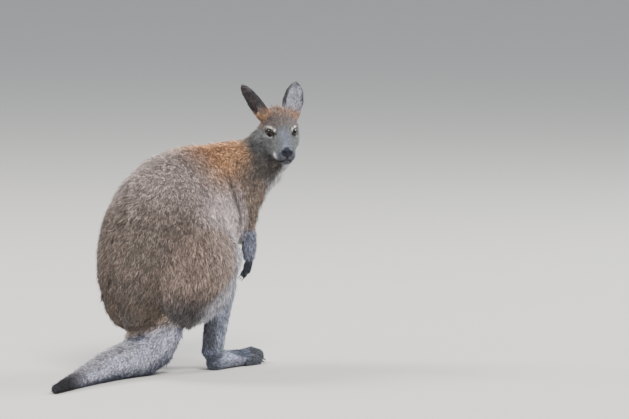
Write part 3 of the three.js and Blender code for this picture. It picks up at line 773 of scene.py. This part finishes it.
def rootsOnSkin(kind):
    mesh = skin.data
    mesh.calc_loop_triangles()
    count = len(mesh.loop_triangles)
    corner = np.empty(count * 3, np.int32)
    mesh.loop_triangles.foreach_get("vertices", corner)
    corner = corner.reshape(-1, 3)
    loops = np.empty(count * 3, np.int32)
    mesh.loop_triangles.foreach_get("loops", loops)
    loops = loops.reshape(-1, 3)
    area = np.empty(count, np.float32)
    mesh.loop_triangles.foreach_get("area", area)
    uv = np.empty(len(mesh.loops) * 2, np.float32)
    mesh.uv_layers["OFBake"].data.foreach_get("uv", uv)
    uv = uv.reshape(-1, 2)
    rate = values[kind][corner][:, :, 3].mean(1)
    bare = values["bare"][corner].max(1)
    low = values["points"][corner][:, :, 2].max(1) < 0.0022
    wanted = area / mm ** 2 * rate * (bare < 0.5) * ~low
    total = np.cumsum(wanted)
    picks = np.arange(chance.random(), total[-1], 1.0)
    face = np.searchsorted(total, picks)
    r1, r2 = np.sqrt(chance.random(len(face))), chance.random(len(face))
    share = np.stack([1 - r1, r1 * (1 - r2), r1 * r2], 1)
    corners = corner[face]

    def at(array):
        part = array[corners]
        return np.einsum("ij,ij...->i...", share, part)

    roots = {key: at(values[key]) for key in ("points", "normal", "lie", "paint")}
    roots["length"], roots["width"], roots["rise"] = at(values[kind])[:, :3].T
    roots["gap"] = at(values[kind])[:, 3] ** -0.5
    roots["uv"] = np.einsum("ij,ijk->ik", share, uv[loops[face]])
    roots["near"] = values["near"][corners[:, 0]]
    return roots


def shapeTufts(roots):
    count = len(roots["points"])
    normal = unit(roots["normal"])
    lie = roots["lie"] - normal * np.sum(roots["lie"] * normal, 1)[:, None]
    lie = unit(lie)
    yaw = np.radians(chance.normal(0, coat["yaw"], count))[:, None]
    lie = unit(lie * np.cos(yaw) + np.cross(normal, lie) * np.sin(yaw))
    long = roots["length"] * np.clip(chance.normal(1, coat["lengthSpread"], count), 0.5, 1.6) * mm
    ratio = np.clip(roots["rise"] / np.maximum(roots["length"], 0.1), 0.05, 0.75)
    ratio = ratio * np.clip(chance.normal(1, 0.16, count), 0.5, 1.5)
    first, second = np.arcsin(np.clip(1.35 * ratio, 0, 0.9)), np.arcsin(np.clip(0.72 * ratio, 0, 0.8))
    width = roots["width"] * np.clip(chance.normal(1, 0.16, count), 0.6, 1.5) * mm
    start = roots["points"] - normal * coat["sink"] * mm * np.minimum(1, roots["rise"] / 3)[:, None]
    middle = start + (lie * np.cos(first)[:, None] + normal * np.sin(first)[:, None]) * (0.45 * long)[:, None]
    tip = middle + (lie * np.cos(second)[:, None] + normal * np.sin(second)[:, None]) * (0.55 * long)[:, None]
    leaders = chance.choice(count, count // coat["clumpEvery"], replace=False)
    finder = KDTree(len(leaders))
    for index, leader in enumerate(leaders):
        finder.insert(start[leader], index)
    finder.balance()
    mine = leaders[np.array([finder.find(p)[1] for p in start])]
    reach = np.linalg.norm(start[mine] - start, axis=1)
    together = np.where(reach < 4.2 * roots["gap"] * mm, coat["clumpPull"], 0)[:, None]
    tip = tip + (tip[mine] - tip) * together * np.array(0.8)
    middle = middle + (middle[mine] - middle) * together * 0.35
    return dict(start=start, middle=middle, tip=tip, width=width, normal=normal, clump=mine)


def tuftTones(roots, clump):
    count = len(clump)
    lumps = np.clip(chance.normal(1, coat["clumpTone"], count), 0.5, 1.6)[clump]
    own = np.clip(chance.normal(1, coat["toneSpread"], count), 0.45, 1.7) * lumps
    draw = chance.random(count)
    tips = coat["tipTone"] * np.where(draw < coat["paleShare"], 1.45, 1) * np.where(draw > 1 - coat["darkShare"], 0.5, 1)
    warm = 1 + chance.normal(0, 0.025, count)[:, None] * np.array((1, 0, -1))
    base = roots["paint"] * own[:, None] * warm
    return base * coat["rootTone"], base * coat["midTone"], base * tips[:, None]


ringFaces = [(0, 1, 4), (0, 4, 3), (1, 2, 5), (1, 5, 4), (2, 0, 3), (2, 3, 5), (3, 4, 6), (4, 5, 6), (5, 3, 6), (0, 2, 1)]
shortFaces = [(0, 1, 3), (1, 2, 3), (2, 0, 3), (0, 2, 1)]


def tuftMesh(name, pick, shape, shades, roots, short):
    start, middle, tip = shape["start"][pick], shape["middle"][pick], shape["tip"][pick]
    width = shape["width"][pick][:, None]

    def ring(at, towards, size):
        side = unit(np.cross(unit(towards), shape["normal"][pick]))
        up = np.cross(side, unit(towards))
        return [at - side * width * 0.5 * size, at + up * width * 0.36 * size, at + side * width * 0.5 * size]

    rootTone, midTone, tipTone = (s[pick] for s in shades)
    size = coat["patch"]
    if short:
        spots = ring(start, tip - start, 1.0) + [tip]
        colours = [rootTone * 1.25] * 3 + [tipTone]
        spots2d = [(-0.5, 0), (0, 0), (0.5, 0), (0, 1)]
        faces = shortFaces
    else:
        spots = ring(start, middle - start, 0.8) + ring(middle, tip - start, 0.85) + [tip]
        colours = [rootTone] * 3 + [midTone] * 3 + [tipTone]
        spots2d = [(-0.5, 0), (0, 0), (0.5, 0), (-0.4, 0.5), (0, 0.5), (0.4, 0.5), (0, 1)]
        faces = ringFaces
    each = len(spots)
    points = np.stack(spots, 1).reshape(-1, 3)
    points[:, 2] = np.maximum(points[:, 2], coat["lowest"])
    index = (np.arange(len(start)) * each)[:, None, None] + np.array(faces)[None]
    corners = index.reshape(-1).astype(np.int32)
    mesh = bpy.data.meshes.new(name)
    mesh.vertices.add(len(points))
    mesh.vertices.foreach_set("co", points.astype(np.float32).ravel())
    mesh.loops.add(len(corners))
    mesh.loops.foreach_set("vertex_index", corners)
    mesh.polygons.add(len(corners) // 3)
    mesh.polygons.foreach_set("loop_start", np.arange(0, len(corners), 3, dtype=np.int32))
    mesh.polygons.foreach_set("use_smooth", np.ones(len(corners) // 3, bool))
    mesh.update(calc_edges=True)
    mesh.validate()
    flat = roots["uv"][pick][:, None, :] + np.array(spots2d)[None] * size
    patch = mesh.uv_layers.new(name="OFBake")
    patch.data.foreach_set("uv", flat.reshape(-1, 2)[corners].astype(np.float32).ravel())
    addTone(mesh, "coatTone", np.stack(colours, 1).reshape(-1, 3))
    mesh.materials.append(coatMaterial)
    piece = bpy.data.objects.new(name, mesh)
    bpy.context.scene.collection.objects.link(piece)
    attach(piece, "root")
    return piece


def coatGroups():              # name of each piece of coat: the nodes it covers, which side, and its finish
    groups = {}
    for side, sign in sides.items():
        for name in ("rump", "abdomen", "chest"):
            groups[f"{name}_{side}"] = ([name], sign, "coat_body")
        groups[f"thigh_{side}"] = ([f"thigh_{side}"], 0, "coat_body")
        groups[f"shin_{side}"] = ([f"shin_{side}"], 0, "coat_limb")
        groups[f"foot_{side}"] = ([f"{n}_{side}" for n in ("foot", "fourth_toe", "fifth_toe", "inner_toes")], 0, "coat_paw")
        groups[f"arm_{side}"] = ([f"{n}_{side}" for n in ("upper_arm", "forearm", "hand")], 0, "coat_limb")
    return groups | {
        "neck": (["neck"], 0, "coat_nape"), "face": (["head", "nose"], 0, "coat_face"),
        "ears": (["ear_left", "ear_right"], 0, "coat_ear"), "tail_root": (["tail_root"], 0, "coat_tail"),
        "tail_middle": (["tail_middle"], 0, "coat_tail"), "tail_end": (["tail_end"], 0, "coat_tail_tip"),
    }


def growCoat():
    whole = 0
    for kind, label in (("hair", "coat"), ("guard", "guard")):
        roots = rootsOnSkin(kind)
        shape = shapeTufts(roots)
        shades = tuftTones(roots, shape["clump"])
        across = (roots["points"] / mm - np.array(standsAt))[:, 0]
        for name, (nodes, sign, slot) in coatGroups().items():
            mine = np.isin(roots["near"], [fleshNodes.index(n) for n in nodes])
            if sign:
                mine &= (across >= 0) if sign > 0 else (across < 0)
            pick = np.nonzero(mine)[0]
            if len(pick) < 40:
                continue
            words = name.split("_")
            piece = tuftMesh(label + "".join(w.capitalize() for w in words), pick, shape, shades, roots, kind == "hair")
            whole += len(piece.data.polygons)
            print(piece.name, len(pick), "tufts", len(piece.data.polygons), "faces")
    print("coat grown", whole)


growCoat()


# ---- Eyes and claws
eyeLook = {"iris": (30, 18, 11), "pupil": (4, 4, 4), "white": (40, 30, 26), "irisTo": 0.62, "pupilTo": 0.3}


def addEye(side, name):
    deselectAll()
    centre = headPoint(*eyeCentre(side))
    gaze = Vector(headAxes @ unit(np.array(lids["gaze"]) * (side, 1, 1)))
    turn = gaze.to_track_quat("Z", "Y").to_euler()
    bpy.ops.mesh.primitive_uv_sphere_add(segments=64, ring_count=40, radius=eyes["radius"] * mm,
                                         location=centre, rotation=turn)
    ball = bpy.context.object
    ball.name = name
    points = vertexArray(ball.data)
    lean = points[:, 2] / (eyes["radius"] * mm)
    tilt = np.sqrt(np.maximum(0, 1 - lean ** 2))
    bulge = 1 + 0.07 * smoothStep(lean, 0.72, 0.95)
    points[:, 2] *= bulge
    moveVertices(ball.data, points)
    paint = np.tile(tone(*eyeLook["white"]), (len(points), 1))
    paint[(lean > 0) & (tilt < eyeLook["irisTo"] + 0.2)] = tone(*eyeLook["iris"])
    flat = np.hypot(points[:, 0] * 0.8, points[:, 1]) / (eyes["radius"] * mm)
    dark = smoothStep(flat, eyeLook["pupilTo"] + 0.12, eyeLook["pupilTo"]) * (lean > 0)
    paint = paint * (1 - dark[:, None]) + tone(*eyeLook["pupil"]) * dark[:, None]
    addTone(ball.data, "coatTone", paint)
    bpy.ops.object.transform_apply(location=True, rotation=True, scale=True)
    bpy.ops.object.shade_smooth()
    material = hairMaterial("wetEye", 900, 0.7, 1.3, 0.05, 0.0, **{"Coat Weight": 0.3, "Coat Roughness": 0.02,
                                                                   "Specular IOR Level": 0.25})[0]
    ball.data.materials.append(material)
    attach(ball, "root")
    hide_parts("eye_left" if side > 0 else "eye_right")


def addClaws(name, nodes):
    deselectAll()
    for node in nodes:
        copy = bpy.data.objects.new(name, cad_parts[node].data.copy())
        bpy.context.scene.collection.objects.link(copy)
        copy.select_set(True)
        bpy.context.view_layer.objects.active = copy
    bpy.ops.object.join()
    claws = bpy.context.object
    claws.name = name
    claws.data.materials.clear()
    bpy.ops.object.mode_set(mode="EDIT")
    bpy.ops.mesh.select_all(action="SELECT")
    bpy.ops.mesh.remove_doubles(threshold=0.00002)
    bpy.ops.object.mode_set(mode="OBJECT")
    applyModifier(claws, "SUBSURF", levels=2, render_levels=2)
    bpy.ops.object.shade_smooth()
    claws.data.materials.append(clawMaterial)
    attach(claws, "root")
    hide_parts(*nodes)


def hornMaterial():
    material, nodes, links, shader = newMaterial("clawHorn", 0.34)
    noise = noiseAt(nodes, links, 600, 3.0, (1, 0.15, 1))
    ramp = nodes.new("ShaderNodeValToRGB")
    ramp.color_ramp.elements[0].position, ramp.color_ramp.elements[1].position = 0.3, 0.75
    ramp.color_ramp.elements[0].color = (*tone(22, 19, 18), 1)
    ramp.color_ramp.elements[1].color = (*tone(66, 58, 52), 1)
    links.new(noise.outputs["Fac"], ramp.inputs["Fac"])
    links.new(ramp.outputs["Color"], shader.inputs["Base Color"])
    height = nodes.new("ShaderNodeBump")
    height.inputs["Strength"].default_value = 0.3
    height.inputs["Distance"].default_value = 0.0004
    links.new(noise.outputs["Fac"], height.inputs["Height"])
    links.new(height.outputs["Normal"], shader.inputs["Normal"])
    return material


clawMaterial = hornMaterial()
addEye(1, "eyeLeft")
addEye(-1, "eyeRight")
for side in sides:
    addClaws("footClaws" + side.capitalize(), [f"claw_{i}_{side}" for i in (4, 5, 3, 2)])
    addClaws("handClaws" + side.capitalize(), [f"finger_claw_{i}_{side}" for i in range(1, 6)])
print("eyes and claws in place")
